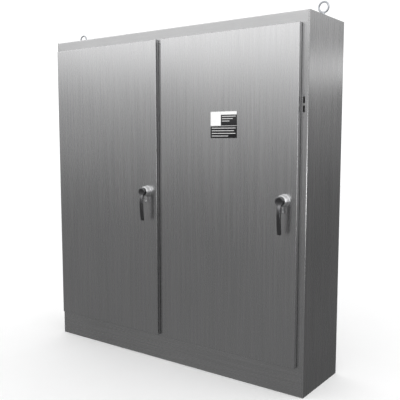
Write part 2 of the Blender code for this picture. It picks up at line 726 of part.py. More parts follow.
def hinge(side, pivot):
    """A continuous hinge down the door's left edge: one leaf on the body, one on the door, and a pin."""
    hinge_leaf(f"{side}_hinge_door_leaf", side, 0.0, 1, pivot)
    hinge_leaf(f"{side}_hinge_frame_leaf", side, math.radians(90), 0, None)
    axis = hinge_axis(side)
    low, high = axis + Vector((0, 0, DOOR_BOTTOM)), axis + Vector((0, 0, DOOR_TOP))
    finish(f"{side}_hinge_pin", rod(PIN_RADIUS, low, high), ZINC, smooth=True)


def nameplate(pivot):
    """A blank plate on the right door."""
    left = DOOR_SPANS["right"][0] + PLATE_HINGE_DISTANCE
    rear = DOOR_FACE_Y - TOUCH
    plate = box((left, rear - PLATE_THICKNESS, PLATE_TOP - PLATE_HEIGHT), (left + PLATE_WIDTH, rear, PLATE_TOP))
    finish("nameplate", plate, LABEL, pivot)


def document_pocket(pivot):
    """A tray on the left door's inside, open at the top."""
    left = DOOR_SPANS["left"][0] + POCKET_HINGE_DISTANCE
    front = DOOR_INSIDE_Y + TOUCH
    low = (left, front, POCKET_BOTTOM)
    high = (left + POCKET_WIDTH, front + POCKET_DEPTH, POCKET_BOTTOM + POCKET_HEIGHT)
    pocket = finish("document_pocket", box(low, high), PLASTIC, pivot)
    hollow = box([value + POCKET_WALL for value in low],
                 (high[0] - POCKET_WALL, high[1] - POCKET_WALL, high[2] + CUTTER_OVERRUN))
    combine(pocket, "DIFFERENCE", hollow)


# Handles and rod latches


def handle_base(side, pivot):
    """The fixed body of a handle, with the padlock lug under it."""
    axis = handle_axis(side)
    bore = SPINDLE_RADIUS + SPINDLE_CLEARANCE
    middle = (BASE_RADIUS + BASE_FRONT_RADIUS) / 2
    profile = [(bore, TOUCH), (BASE_RADIUS, TOUCH), (BASE_RADIUS, BASE_FLANGE),
               (BASE_RADIUS - BASE_FLANGE / 2, 2 * BASE_FLANGE),
               (middle - BASE_FLANGE / 4, BASE_LENGTH * BASE_WAIST_SHARE),
               (BASE_FRONT_RADIUS, BASE_LENGTH), (bore, BASE_LENGTH)]
    body = turned(profile, axis, (0, -1, 0), ROUND_STEPS)
    base = finish(f"{side}_handle_base", body, BRIGHT, pivot, smooth=True)
    half = LUG_THICKNESS / 2
    lug_bottom = axis.z - LUG_DROP
    front = axis.y - LUG_START - LUG_DEPTH
    lug = box((axis.x - half, front, lug_bottom),
              (axis.x + half, axis.y - LUG_START, axis.z - BASE_FRONT_RADIUS))
    centre = Vector((axis.x, axis.y - LUG_START - LUG_DEPTH / 2, lug_bottom + LUG_DEPTH / 2))
    across = Vector((LUG_THICKNESS, 0, 0))
    hole = rod(LUG_HOLE_RADIUS, centre - across, centre + across)
    combine(base, "UNION", lug)
    combine(base, "DIFFERENCE", hole)


def lever_arm(axis):
    """The arm as rings of eight corners, from inside the head down to the tip."""
    head_middle = BASE_LENGTH + HEAD_GAP + HEAD_LENGTH / 2
    kink = head_middle + LEVER_KINK_RISE
    shoulder_drop = LEVER_KINK_DROP * LEVER_SHOULDER_SHARE
    shoulder = head_middle + LEVER_KINK_RISE * LEVER_SHOULDER_SHARE
    middle = head_middle + LEVER_KINK_RISE * LEVER_MIDDLE_RISE_SHARE
    tip = head_middle + LEVER_KINK_RISE * LEVER_TIP_RISE_SHARE
    stations = [
        (0, head_middle, LEVER_WIDTH, HEAD_LENGTH * LEVER_ROOT_SHARE),
        (shoulder_drop, shoulder, LEVER_WIDTH, LEVER_THICKNESS),
        (LEVER_KINK_DROP, kink, LEVER_WIDTH, LEVER_THICKNESS),
        ((LEVER_KINK_DROP + LEVER_REACH) / 2, middle, LEVER_WIDTH, LEVER_THICKNESS),
        (LEVER_REACH, tip, LEVER_TIP_WIDTH, LEVER_TIP_THICKNESS),
    ]
    built = bmesh.new()
    rings = []
    for drop, out, width, thickness in stations:
        half, deep, cut = width / 2, thickness / 2, min(LEVER_CHAMFER, thickness / 3)
        corners = [(half, deep - cut), (half - cut, deep), (cut - half, deep), (-half, deep - cut),
                   (-half, cut - deep), (cut - half, -deep), (half - cut, -deep), (half, cut - deep)]
        rings.append([built.verts.new((axis.x + x, axis.y - out + y, axis.z - drop)) for x, y in corners])
    for upper, lower in zip(rings, rings[1:]):
        for k in range(len(upper)):
            following = (k + 1) % len(upper)
            built.faces.new((upper[k], upper[following], lower[following], lower[k]))
    built.faces.new(rings[0])
    built.faces.new(rings[-1][::-1])
    return built


def handle_lever(side, pivot):
    """The turning lever: head, arm and the spindle that passes through the door."""
    axis = handle_axis(side)
    start = BASE_LENGTH + HEAD_GAP
    end = start + HEAD_LENGTH
    rim = HEAD_LENGTH / 5
    profile = [(0, start), (HEAD_RADIUS, start), (HEAD_RADIUS, end - rim), (HEAD_RADIUS - rim, end), (0, end)]
    head = turned(profile, axis, (0, -1, 0), ROUND_STEPS)
    lever = finish(f"{side}_handle_lever", head, BRIGHT, pivot, smooth=True)
    inner_end = Vector((axis.x, FRONT_Y + ROD_PLANE + ROD_THICKNESS, axis.z))
    spindle = rod(SPINDLE_RADIUS, axis + Vector((0, -start - HEAD_LENGTH / 2, 0)), inner_end)
    combine(lever, "UNION", lever_arm(axis), spindle)


def pinion_outline(axis):
    """Gear teeth in the plane of the door, with one tooth pointing along +X."""
    pitch_half = (math.pi / PINION_TEETH * PINION_PITCH_RADIUS - TOOTH_SLACK) / 2
    tip_half = pitch_half - TOOTH_OUTWARD * math.tan(PRESSURE_ANGLE) * TIP_RELIEF
    root_half = pitch_half * TOOTH_ROOT_SHARE
    radii = ((PINION_PITCH_RADIUS - TOOTH_INWARD, root_half), (PINION_PITCH_RADIUS, pitch_half),
             (PINION_PITCH_RADIUS + TOOTH_OUTWARD, tip_half))
    outline = []
    for tooth in range(PINION_TEETH):
        middle = math.tau * tooth / PINION_TEETH
        rising = [(radius, middle - half / radius) for radius, half in radii]
        falling = [(radius, middle + half / radius) for radius, half in reversed(radii)]
        outline += rising + falling
    return [(axis.x + radius * math.cos(angle), axis.z + radius * math.sin(angle)) for radius, angle in outline]


def latch_pinion(side, pivot):
    """The gear on the spindle's inner end that drives both rods."""
    axis = handle_axis(side)
    front = FRONT_Y + ROD_PLANE - ROD_THICKNESS / 2
    gear = finish(f"{side}_latch_pinion", prism(pinion_outline(axis), front, front + ROD_THICKNESS, axes="xzy"),
                  ZINC, pivot)
    bore = rod(SPINDLE_RADIUS + TOUCH, (axis.x, front - CUTTER_OVERRUN, axis.z),
               (axis.x, front + ROD_THICKNESS + CUTTER_OVERRUN, axis.z))
    combine(gear, "DIFFERENCE", bore)


def rack_outline(end):
    """A rod with rack teeth on the side towards the pinion, as (distance across, distance along).

    Across is 0 on the pinion's axis. Along is 0 level with the pinion, positive towards the rod's end.
    """
    pitch = math.tau * PINION_PITCH_RADIUS / PINION_TEETH
    root = PINION_PITCH_RADIUS + TOOTH_INWARD
    tip = PINION_PITCH_RADIUS - TOOTH_OUTWARD
    slope = math.tan(PRESSURE_ANGLE)
    half = (pitch / 2 - TOOTH_SLACK) / 2
    outline = []
    for tooth in range(RACK_TEETH):
        middle = (tooth - 0.5) * pitch
        wide, narrow = half + TOOTH_INWARD * slope, half - TOOTH_OUTWARD * slope
        outline += [(root, middle - wide), (tip, middle - narrow), (tip, middle + narrow),
                    (root, middle + wide)]
    start = -pitch
    return [(root, start), *outline, (root, end), (root + ROD_WIDTH, end), (root + ROD_WIDTH, start)]


def roller_centre(side, upward):
    """The middle of a rod's roller."""
    axis = handle_axis(side)
    across = PINION_PITCH_RADIUS + TOOTH_INWARD + ROD_WIDTH / 2
    edge = LIP_TOP - SHEET if upward > 0 else LIP_BOTTOM + SHEET
    height = edge - upward * (ROLLER_EDGE_CLEARANCE + ROLLER_RADIUS)
    return Vector((axis.x + upward * across, FRONT_Y + ROD_PLANE, height))


def latch_rod(side, end_name, upward, pivot):
    """A sliding rod: rack teeth by the pinion, and a fork with an axle at the far end."""
    axis = handle_axis(side)
    centre = roller_centre(side, upward)
    base = upward * (centre.z - axis.z) - ROLLER_RADIUS - GUIDE_CLEARANCE - FORK_BASE
    flat = [(axis.x + upward * across, axis.z + upward * along) for across, along in rack_outline(base)]
    front = centre.y - ROD_THICKNESS / 2
    bar = finish(f"{side}_latch_rod_{end_name}", prism(flat, front, front + ROD_THICKNESS, axes="xzy"), ZINC, pivot)
    half = FORK_WIDTH / 2
    gap = half - FORK_WALL
    floor_z, low_z, high_z = base + FORK_BASE, base - FORK_BASE / 2, upward * (centre.z - axis.z) + 2 * AXLE_RADIUS
    fork = [(-half, low_z), (half, low_z), (half, high_z), (gap, high_z), (gap, floor_z), (-gap, floor_z),
            (-gap, high_z), (-half, high_z)]
    fork = [(centre.x + x, axis.z + upward * z) for x, z in fork]
    prongs = prism(fork, centre.y - FORK_DEPTH / 2, centre.y + FORK_DEPTH / 2, axes="xzy")
    reach = Vector((half - FORK_WALL / 2, 0, 0))
    combine(bar, "UNION", prongs, rod(AXLE_RADIUS, centre - reach, centre + reach))


def latch_roller(side, end_name, upward, pivot):
    """The roller that turns on a rod's axle."""
    centre = roller_centre(side, upward)
    half = Vector((ROLLER_WIDTH / 2, 0, 0))
    finish(f"{side}_latch_roller_{end_name}", ring(ROLLER_RADIUS, ROLLER_BORE, centre - half, centre + half,
                                                   ROUND_STEPS), PLASTIC, pivot, smooth=True)


def latch_bracket(side, pivot):
    """The bridge on the door's inside that steadies the spindle."""
    axis = handle_axis(side)
    base = DOOR_INSIDE_Y + TOUCH
    crown = FRONT_Y + ROD_PLANE - ROD_THICKNESS / 2 - TOUCH - SHEET
    outline = hat_outline(axis.x, BRACKET_WIDTH, BRACKET_FOOT, base, crown)
    half = BRACKET_HEIGHT / 2
    bracket = finish(f"{side}_latch_bracket", prism(outline, axis.z - half, axis.z + half), ZINC, pivot)
    hole = rod(SPINDLE_RADIUS + SPINDLE_CLEARANCE, (axis.x, base + CUTTER_OVERRUN, axis.z),
               (axis.x, crown + CUTTER_OVERRUN, axis.z))
    combine(bracket, "DIFFERENCE", hole)


def rod_guide(side, end_name, upward, pivot):
    """A strap on the door's inside that holds a rod near its end."""
    centre = roller_centre(side, upward)
    base = DOOR_INSIDE_Y + TOUCH
    crown = centre.y + ROD_THICKNESS / 2 + GUIDE_CLEARANCE
    outline = hat_outline(centre.x, ROD_WIDTH + 2 * GUIDE_CLEARANCE, GUIDE_FOOT, base, crown)
    middle = centre.z - upward * GUIDE_MARGIN
    strap = prism(outline, middle - GUIDE_HEIGHT / 2, middle + GUIDE_HEIGHT / 2)
    finish(f"{side}_rod_guide_{end_name}", strap, ZINC, pivot)


def door_assembly(side):
    """A door with its hinge, seal, handle and rod latch."""
    door_pivot = pivot_at(f"{side}_door_axis", hinge_axis(side))
    handle_pivot = pivot_at(f"{side}_handle_axis", handle_axis(side))
    door(side, door_pivot)
    gasket(side, door_pivot)
    stiffener(side, door_pivot)
    hinge(side, door_pivot)
    handle_base(side, door_pivot)
    handle_lever(side, handle_pivot)
    latch_bracket(side, door_pivot)
    latch_pinion(side, handle_pivot)
    for end_name, upward in (("upper", 1), ("lower", -1)):
        roller_pivot = pivot_at(f"{side}_roller_axis_{end_name}", roller_centre(side, upward))
        latch_rod(side, end_name, upward, roller_pivot)
        latch_roller(side, end_name, upward, roller_pivot)
        rod_guide(side, end_name, upward, door_pivot)
    return door_pivot


def main():
    """Clears the scene and builds the enclosure."""
    for old in list(bpy.data.objects):
        bpy.data.objects.remove(old, do_unlink=True)
    side_panel("left")
    operator_cutouts(side_panel("right"))
    roof_panel()
    floor_panel()
    back_panel()
    centre_post()
    ground_stud()
    for side in DOOR_SPANS:
        subpanel(side)
        lifting_eye(side)
    pivots = {side: door_assembly(side) for side in DOOR_SPANS}
    nameplate(pivots["right"])
    document_pocket(pivots["left"])


main()
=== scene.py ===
"""The finished look of a two-door stainless subpanel enclosure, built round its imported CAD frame."""

import logging
import math
from dataclasses import dataclass
from enum import Enum
from typing import Callable, Sequence

import bmesh
import bpy
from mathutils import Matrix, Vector


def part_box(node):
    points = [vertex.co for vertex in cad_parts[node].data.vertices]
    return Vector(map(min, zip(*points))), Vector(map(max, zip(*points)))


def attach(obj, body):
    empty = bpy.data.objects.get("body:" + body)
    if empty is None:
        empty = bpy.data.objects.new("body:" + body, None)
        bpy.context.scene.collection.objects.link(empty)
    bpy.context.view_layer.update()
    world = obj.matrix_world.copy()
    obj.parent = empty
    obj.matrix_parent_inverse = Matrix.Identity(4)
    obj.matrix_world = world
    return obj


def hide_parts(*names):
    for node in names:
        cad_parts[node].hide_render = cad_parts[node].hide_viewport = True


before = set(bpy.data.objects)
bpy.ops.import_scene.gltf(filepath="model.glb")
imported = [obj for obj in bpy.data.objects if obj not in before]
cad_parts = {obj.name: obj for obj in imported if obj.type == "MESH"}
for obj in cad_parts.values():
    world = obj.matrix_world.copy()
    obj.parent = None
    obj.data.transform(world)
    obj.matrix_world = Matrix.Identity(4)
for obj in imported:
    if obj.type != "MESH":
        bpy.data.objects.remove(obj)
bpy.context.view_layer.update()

Point = tuple[float, float, float]
Shape = bpy.types.Object
log = logging.getLogger("enclosure")

FIT = 0.0003
SMOOTH_ANGLE = math.radians(35)
NOISE_FADE = 0.6


class Side(Enum):
    """The side of the enclosure that a door, handle or eye belongs to."""

    LEFT = "left"
    RIGHT = "right"


class Grain(Enum):
    """The way a sheet was brushed."""

    UPRIGHT = "z"
    CROSSWISE = "x"


class Element(Enum):
    """What a selection in edit mode is made of."""

    FACE = "FACE"
    EDGE = "EDGE"


# Bench tools: selecting, cutting and finishing


def choose(piece: Shape) -> Shape:
    """Makes a piece the only selected object.

    Args:
        piece: The object to work on.

    Returns:
        The same object.
    """
    for other in list(bpy.context.selected_objects):
        other.select_set(False)
    piece.select_set(True)
    bpy.context.view_layer.objects.active = piece
    return piece


def named(name: str) -> Shape:
    """Names the object that an operator has just added, and settles its place in its mesh.

    Args:
        name: The piece's name.

    Returns:
        The piece, at the origin and unscaled.
    """
    piece = choose(bpy.context.active_object)
    piece.name = name
    piece.data.name = name
    bpy.ops.object.transform_apply(location=True, rotation=True, scale=True)
    return piece


def block(name: str, low: Sequence[float], high: Sequence[float]) -> Shape:
    """Adds a box.

    Args:
        name: The piece's name.
        low: Its lowest corner.
        high: Its highest corner.

    Returns:
        The box.
    """
    middle = [(a + b) / 2 for a, b in zip(low, high)]
    size = [b - a for a, b in zip(low, high)]
    bpy.ops.mesh.primitive_cube_add(size=1, location=middle, scale=size)
    return named(name)


def bar(name: str, radius: float, start: Vector, end: Vector, corners: int = 48) -> Shape:
    """Adds a straight round or many-sided bar.

    Args:
        name: The piece's name.
        radius: Its radius to the corners.
        start: The middle of its first end.
        end: The middle of its other end.
        corners: How many sides it has.

    Returns:
        The bar.
    """
    along = end - start
    turn = along.to_track_quat("Z", "Y").to_euler()
    bpy.ops.mesh.primitive_cylinder_add(
        vertices=corners, radius=radius, depth=along.length, location=(start + end) / 2, rotation=turn
    )
    return named(name)


def pick(piece: Shape, element: Element, test: Callable[..., bool]) -> None:
    """Selects faces or edges of the piece in edit mode.

    Args:
        piece: The piece that is being edited.
        element: Whether faces or edges are selected.
        test: Says of one face or edge whether it is wanted.
    """
    bpy.ops.mesh.select_mode(type=element.value)
    bpy.ops.mesh.select_all(action="DESELECT")
    shape = bmesh.from_edit_mesh(piece.data)
    for item in shape.faces if element is Element.FACE else shape.edges:
        if test(item):
            item.select_set(True)
    bmesh.update_edit_mesh(piece.data)


def facing(direction: Point) -> Callable[[bmesh.types.BMFace], bool]:
    """Makes a test for faces that look one way.

    Args:
        direction: The way they look.

    Returns:
        A test for pick.
    """
    return lambda face: face.normal.dot(Vector(direction)) > 0.99


def modified(piece: Shape, kind: str, **settings: object) -> Shape:
    """Adds a modifier and applies it.

    Args:
        piece: The piece to change.
        kind: The modifier's type.
        **settings: The modifier's own values.

    Returns:
        The piece.
    """
    choose(piece)
    modifier = piece.modifiers.new(kind.lower(), kind)
    for key, value in settings.items():
        setattr(modifier, key, value)
    bpy.ops.object.modifier_apply(modifier=modifier.name)
    return piece


def fused(piece: Shape, operation: str, *others: Shape) -> Shape:
    """Joins other shapes to a piece, or cuts them out of it.

    Args:
        piece: The piece that stays.
        operation: UNION or DIFFERENCE.
        *others: The shapes that are used up.

    Returns:
        The piece.
    """
    for other in others:
        modified(piece, "BOOLEAN", operation=operation, object=other, solver="EXACT")
        bpy.data.objects.remove(other)
    return piece


def rounded(piece: Shape, width: float, steps: int = 3) -> Shape:
    """Rounds a piece's sharp edges.

    Args:
        piece: The piece to round.
        width: The radius of the rounding.
        steps: How many strips make it.

    Returns:
        The piece, shaded smooth.
    """
    modified(piece, "BEVEL", width=width, segments=steps, limit_method="ANGLE", angle_limit=SMOOTH_ANGLE,
             use_clamp_overlap=True, harden_normals=False)
    return smooth(piece)


def smooth(piece: Shape) -> Shape:
    """Shades the gentle turns of a piece smooth."""
    choose(piece)
    bpy.ops.object.shade_smooth_by_angle(angle=SMOOTH_ANGLE)
    return piece


def spun(
    name: str, profile: Sequence[tuple[float, float]], centre: Vector, axis: Vector, steps: int = 64
) -> Shape:
    """Spins a profile into a round piece.

    Args:
        name: The piece's name.
        profile: Points of (radius, distance along the axis). One that keeps off the axis is a closed loop.
        centre: Where the distances start.
        axis: The direction of the axis.
        steps: How many strips go round it.

    Returns:
        The round piece.
    """
    across = Vector((0, 0, 1)) if abs(axis.z) < 0.5 else Vector((1, 0, 0))
    points = [centre + across * radius + axis * along for radius, along in profile]
    lines = [(k, k + 1) for k in range(len(points) - 1)]
    if profile[0][0] > 0:
        lines.append((len(points) - 1, 0))
    mesh = bpy.data.meshes.new(name)
    mesh.from_pydata(points, lines, [])
    piece = bpy.data.objects.new(name, mesh)
    bpy.context.scene.collection.objects.link(piece)
    choose(piece)
    bpy.ops.object.mode_set(mode="EDIT")
    bpy.ops.mesh.select_all(action="SELECT")
    bpy.ops.mesh.spin(steps=steps, angle=math.tau, center=centre, axis=axis)
    bpy.ops.mesh.select_all(action="SELECT")
    bpy.ops.mesh.remove_doubles(threshold=1e-6)
    bpy.ops.mesh.normals_make_consistent(inside=False)
    bpy.ops.object.mode_set(mode="OBJECT")
    return smooth(piece)


def hollowed(piece: Shape, mouth: Point, wall: float) -> Shape:
    """Makes a box into a tray of even wall.

    Args:
        piece: A box.
        mouth: The direction that the tray opens to.
        wall: The thickness of its sides and base.

    Returns:
        The tray.
    """
    depth = max(size * abs(part) for size, part in zip(piece.dimensions, mouth))
    choose(piece)
    bpy.ops.object.mode_set(mode="EDIT")
    pick(piece, Element.FACE, facing(mouth))
    bpy.ops.mesh.inset(thickness=wall)
    inward = tuple(-part * (depth - wall) for part in mouth)
    bpy.ops.mesh.extrude_region_move(TRANSFORM_OT_translate={"value": inward})
    bpy.ops.object.mode_set(mode="OBJECT")
    return piece


def placed(piece: Shape, material: bpy.types.Material, body: str, slot: str | None, *nodes: str) -> Shape:
    """Dresses a finished piece and fixes it to its body.

    Args:
        piece: The piece.
        material: Its finish.
        body: The moving or fixed body that it rides on.
        slot: The material slot of the record, if it has one. Not used.
        *nodes: The CAD nodes that it stands for.

    Returns:
        The piece.
    """
    piece.data.materials.clear()
    piece.data.materials.append(material)
    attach(piece, body)
    if nodes:
        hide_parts(*nodes)
    log.info("piece %s on %s", piece.name, body)
    return piece


# Finishes


class Recipe:
    """A material as it is wired up, node by node."""

    def __init__(self, name: str) -> None:
        """Starts an empty material with a principled shader.

        Args:
            name: The material's name.
        """
        self.material = bpy.data.materials.new(name)
        self.material.use_nodes = True
        self.tree = self.material.node_tree
        self.shader = self.tree.nodes["Principled BSDF"]

    def add(self, kind: str, settings: dict[str, object] | None = None, **inputs: object) -> bpy.types.Node:
        """Adds a node.

        Args:
            kind: The node's type.
            settings: Its own properties.
            **inputs: A value, or an output to link, for each socket; an underscore stands for a space.

        Returns:
            The node.
        """
        node = self.tree.nodes.new(kind)
        for key, value in (settings or {}).items():
            setattr(node, key, value)
        for key, value in inputs.items():
            self.feed(node, key.replace("_", " "), value)
        return node

    def feed(self, node: bpy.types.Node, socket: str | int, value: object) -> None:
        """Sets a socket or links an output to it.

        Args:
            node: The node that has the socket.
            socket: The socket's name or number.
            value: A plain value or another node's output.
        """
        target = node.inputs[socket]
        if isinstance(value, bpy.types.NodeSocket):
            self.tree.links.new(value, target)
        else:
            target.default_value = value

    def place(self, scale: Sequence[float]) -> bpy.types.NodeSocket:
        """Gives object coordinates, stretched.

        Args:
            scale: The stretch along each axis.

        Returns:
            The vector output.
        """
        source = self.add("ShaderNodeTexCoord").outputs["Object"]
        return self.add("ShaderNodeMapping", Vector=source, Scale=tuple(scale)).outputs["Vector"]

    def noise(self, scale: Sequence[float], detail: float = 2.0) -> bpy.types.NodeSocket:
        """Gives a noise pattern.

        Args:
            scale: How many grains there are in a metre, along each axis.
            detail: How many finer layers it has.

        Returns:
            The factor output.
        """
        node = self.add(
            "ShaderNodeTexNoise", Vector=self.place(scale), Scale=1.0, Detail=detail, Roughness=NOISE_FADE
        )
        return node.outputs["Fac"]

    def spread(self, value: bpy.types.NodeSocket, low: float, high: float) -> bpy.types.NodeSocket:
        """Maps a pattern's middle range onto other limits.

        Args:
            value: The pattern.
            low: What 0.3 becomes.
            high: What 0.7 becomes.

        Returns:
            The mapped output.
        """
        node = self.add("ShaderNodeMapRange", Value=value)
        for socket, number in (("From Min", 0.3), ("From Max", 0.7), ("To Min", low), ("To Max", high)):
            node.inputs[socket].default_value = number
        return node.outputs["Result"]

    def tinted(self, colour: Point, brightness: bpy.types.NodeSocket) -> bpy.types.NodeSocket:
        """Multiplies a colour by a pattern.

        Args:
            colour: The colour.
            brightness: A pattern about 1.

        Returns:
            The colour output.
        """
        node = self.add("ShaderNodeVectorMath", {"operation": "SCALE"})
        node.inputs[0].default_value = colour
        self.feed(node, "Scale", brightness)
        return node.outputs[0]

    def times(self, one: bpy.types.NodeSocket, other: bpy.types.NodeSocket) -> bpy.types.NodeSocket:
        """Multiplies two patterns."""
        node = self.add("ShaderNodeMath", {"operation": "MULTIPLY"})
        self.feed(node, 0, one)
        self.feed(node, 1, other)
        return node.outputs[0]

    def grained(self, height: bpy.types.NodeSocket, depth: float, strength: float) -> None:
        """Feeds the shader's normal from a height pattern.

        Args:
            height: The pattern.
            depth: Its height in metres.
            strength: How much of it shows.
        """
        bump = self.add("ShaderNodeBump", Height=height, Distance=depth, Strength=strength)
        self.feed(self.shader, "Normal", bump.outputs["Normal"])


@dataclass(frozen=True)
class BrushedSteel:
    """Stainless sheet with a brushed grain, faint streaks and slow clouding."""

    name: str
    grain: Grain
    tint: Point = (0.56, 0.56, 0.565)
    roughness: float = 0.27
    streaks: float = 0.05
    clouding: float = 0.04
    fine_grain: tuple[float, float] = (900.0, 9.0)
    broad_grain: tuple[float, float] = (70.0, 1.2)
    cloud_scale: Point = (2.3, 2.3, 1.7)
    rough_swing: float = 0.03
    grain_depth: float = 0.00002
    grain_strength: float = 0.35

    def stretch(self, across: float, along: float) -> Point:
        """Gives a pattern's scale, fine across the grain and long down it.

        Args:
            across: Grains in a metre across it.
            along: Grains in a metre down it.

        Returns:
            The scale along each axis.
        """
        return tuple(along if axis == self.grain.value else across for axis in "xyz")

    def make(self) -> bpy.types.Material:
        """Wires up the finish and returns the material."""
        recipe = Recipe(self.name)
        fine = recipe.noise(self.stretch(*self.fine_grain), 3.0)
        broad = recipe.noise(self.stretch(*self.broad_grain), 2.0)
        cloud = recipe.noise(self.cloud_scale, 1.0)
        streak = recipe.spread(fine, 1.0 - self.streaks, 1.0 + self.streaks)
        band = recipe.spread(broad, 1.0 - self.streaks / 2, 1.0 + self.streaks / 2)
        mottle = recipe.spread(cloud, 1.0 - self.clouding, 1.0 + self.clouding)
        brightness = recipe.times(recipe.times(streak, band), mottle)
        recipe.feed(recipe.shader, "Base Color", recipe.tinted(self.tint, brightness))
        rough = recipe.spread(broad, self.roughness - self.rough_swing, self.roughness + self.rough_swing)
        recipe.feed(recipe.shader, "Roughness", rough)
        recipe.shader.inputs["Metallic"].default_value = 1.0
        recipe.grained(fine, self.grain_depth, self.grain_strength)
        return recipe.material


@dataclass(frozen=True)
class PolishedCasting:
    """Bright plated casting with soft waviness and small scratches."""

    name: str
    tint: Point = (0.80, 0.80, 0.81)
    roughness: float = 0.13
    wave_scale: Point = (60.0, 60.0, 60.0)
    scratch_scale: Point = (900.0, 700.0, 120.0)
    polished_by: float = 0.03
    scratched_by: float = 0.05
    wave_depth: float = 0.0004
    wave_strength: float = 0.12

    def make(self) -> bpy.types.Material:
        """Wires up the finish and returns the material."""
        recipe = Recipe(self.name)
        wavy = recipe.noise(self.wave_scale, 1.0)
        scratch = recipe.noise(self.scratch_scale, 4.0)
        recipe.feed(recipe.shader, "Base Color", recipe.tinted(self.tint, recipe.spread(wavy, 0.96, 1.03)))
        rough = recipe.spread(scratch, self.roughness - self.polished_by, self.roughness + self.scratched_by)
        recipe.feed(recipe.shader, "Roughness", rough)
        recipe.shader.inputs["Metallic"].default_value = 1.0
        recipe.grained(wavy, self.wave_depth, self.wave_strength)
        return recipe.material


@dataclass(frozen=True)
class ZincPlate:
    """Plated steel hardware with a mottled, slightly cool surface."""

    name: str
    tint: Point = (0.60, 0.62, 0.65)
    mottle_scale: Point = (140.0, 140.0, 140.0)
    grit_scale: Point = (1500.0, 1500.0, 1500.0)
    grit_depth: float = 0.00003
    grit_strength: float = 0.3

    def make(self) -> bpy.types.Material:
        """Wires up the finish and returns the material."""
        recipe = Recipe(self.name)
        mottle = recipe.noise(self.mottle_scale, 3.0)
        grit = recipe.noise(self.grit_scale, 2.0)
        recipe.feed(recipe.shader, "Base Color", recipe.tinted(self.tint, recipe.spread(mottle, 0.88, 1.08)))
        recipe.feed(recipe.shader, "Roughness", recipe.spread(mottle, 0.30, 0.45))
        recipe.shader.inputs["Metallic"].default_value = 1.0
        recipe.grained(grit, self.grit_depth, self.grit_strength)
        return recipe.material


@dataclass(frozen=True)
class Coating:
    """A finish that is not metal: powder paint, rubber, moulded plastic or printed film."""

    name: str
    tint: Point
    roughness: float
    variation: float
    grain: float
    depth: float
    drift_scale: Point = (4.0, 4.0, 4.0)
    rough_swing: float = 0.06
    texture_strength: float = 0.6

    def make(self) -> bpy.types.Material:
        """Wires up the finish and returns the material."""
        recipe = Recipe(self.name)
        texture = recipe.noise((self.grain, self.grain, self.grain), 3.0)
        drift = recipe.noise(self.drift_scale, 2.0)
        shade = recipe.spread(drift, 1.0 - self.variation, 1.0 + self.variation)
        recipe.feed(recipe.shader, "Base Color", recipe.tinted(self.tint, shade))
        rough = recipe.spread(texture, self.roughness - self.rough_swing, self.roughness + self.rough_swing)
        recipe.feed(recipe.shader, "Roughness", rough)
        recipe.grained(texture, self.depth, self.texture_strength)
        return recipe.material


@dataclass(frozen=True)
class Finishes:
    """Every finish on the enclosure, made once."""

    upright: bpy.types.Material
    crosswise: bpy.types.Material
    header: bpy.types.Material
    door: bpy.types.Material
    chrome: bpy.types.Material
    lever: bpy.types.Material
    zinc: bpy.types.Material
    paint: bpy.types.Material
    rubber: bpy.types.Material
    plastic: bpy.types.Material
    nylon: bpy.types.Material
    film: bpy.types.Material
    print: bpy.types.Material

    @classmethod
    def mix(cls) -> "Finishes":
        """Makes all the finishes and returns the set."""
        return cls(
            upright=BrushedSteel("brushed_upright", Grain.UPRIGHT).make(),
            crosswise=BrushedSteel("brushed_crosswise", Grain.CROSSWISE).make(),
            # The header is the same steel as the crosswise sheet but with a lighter tint: painted light that
            # makes the header look brighter.
            header=BrushedSteel(
                "brushed_header_painted_bright", Grain.CROSSWISE, tint=(0.68, 0.68, 0.685), roughness=0.45
            ).make(),
            door=BrushedSteel("brushed_door", Grain.UPRIGHT, streaks=0.022, clouding=0.025).make(),
            chrome=PolishedCasting("polished_casting", roughness=0.28).make(),
            # The lever is the handle's chrome with a dark tint: painted shade that makes the lever look
            # darker than the base.
            lever=PolishedCasting("polished_lever_painted_shade", tint=(0.15, 0.15, 0.155), roughness=0.17).make(),
            zinc=ZincPlate("zinc_plate").make(),
            paint=Coating("powder_paint", (0.80, 0.80, 0.78), 0.42, 0.015, 700.0, 0.00006).make(),
            rubber=Coating("foam_rubber", (0.022, 0.022, 0.023), 0.80, 0.15, 900.0, 0.0003).make(),
            plastic=Coating("moulded_plastic", (0.05, 0.05, 0.055), 0.50, 0.06, 1100.0, 0.00008).make(),
            nylon=Coating("natural_nylon", (0.78, 0.76, 0.70), 0.40, 0.04, 500.0, 0.00004).make(),
            film=Coating("plate_film", (0.012, 0.012, 0.013), 0.32, 0.10, 800.0, 0.00002).make(),
            print=Coating("plate_print", (0.86, 0.86, 0.86), 0.38, 0.02, 800.0, 0.00002).make(),
        )


# Sub-assemblies


@dataclass
class Body:
    """The sheet-metal body, whose panels keep their CAD shapes and get their finishes."""

    crosswise: tuple[str, ...] = ("floor_panel",)
    header: tuple[str, ...] = ("roof_panel",)

    def finish_for(self, node: str, finishes: Finishes) -> bpy.types.Material:
        """Chooses a node's finish by what it is.

        Args:
            node: The CAD node's name.
            finishes: The set of finishes.

        Returns:
            The finish.
        """
        if node in self.header:
            return finishes.header
        if node in self.crosswise:
            return finishes.crosswise
        kinds = (
            ("gasket", finishes.rubber), ("subpanel", finishes.paint), ("pocket", finishes.plastic),
            ("nameplate", finishes.film), ("handle", finishes.chrome), ("roller", finishes.nylon),
            ("nut", finishes.zinc), ("stud", finishes.zinc), ("latch", finishes.zinc),
            ("guide", finishes.zinc), ("pin", finishes.zinc), ("eye", finishes.zinc),
        )
        return next((finish for word, finish in kinds if word in node), finishes.upright)

    def dress(self, finishes: Finishes) -> None:
        """Gives every CAD node its finish.

        Args:
            finishes: The set of finishes.
        """
        for node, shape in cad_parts.items():
            material = self.finish_for(node, finishes)
            for holder in shape.material_slots:
                holder.material = material
            if not shape.material_slots:
                shape.data.materials.append(material)
        log.info("dressed %d CAD nodes", len(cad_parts))


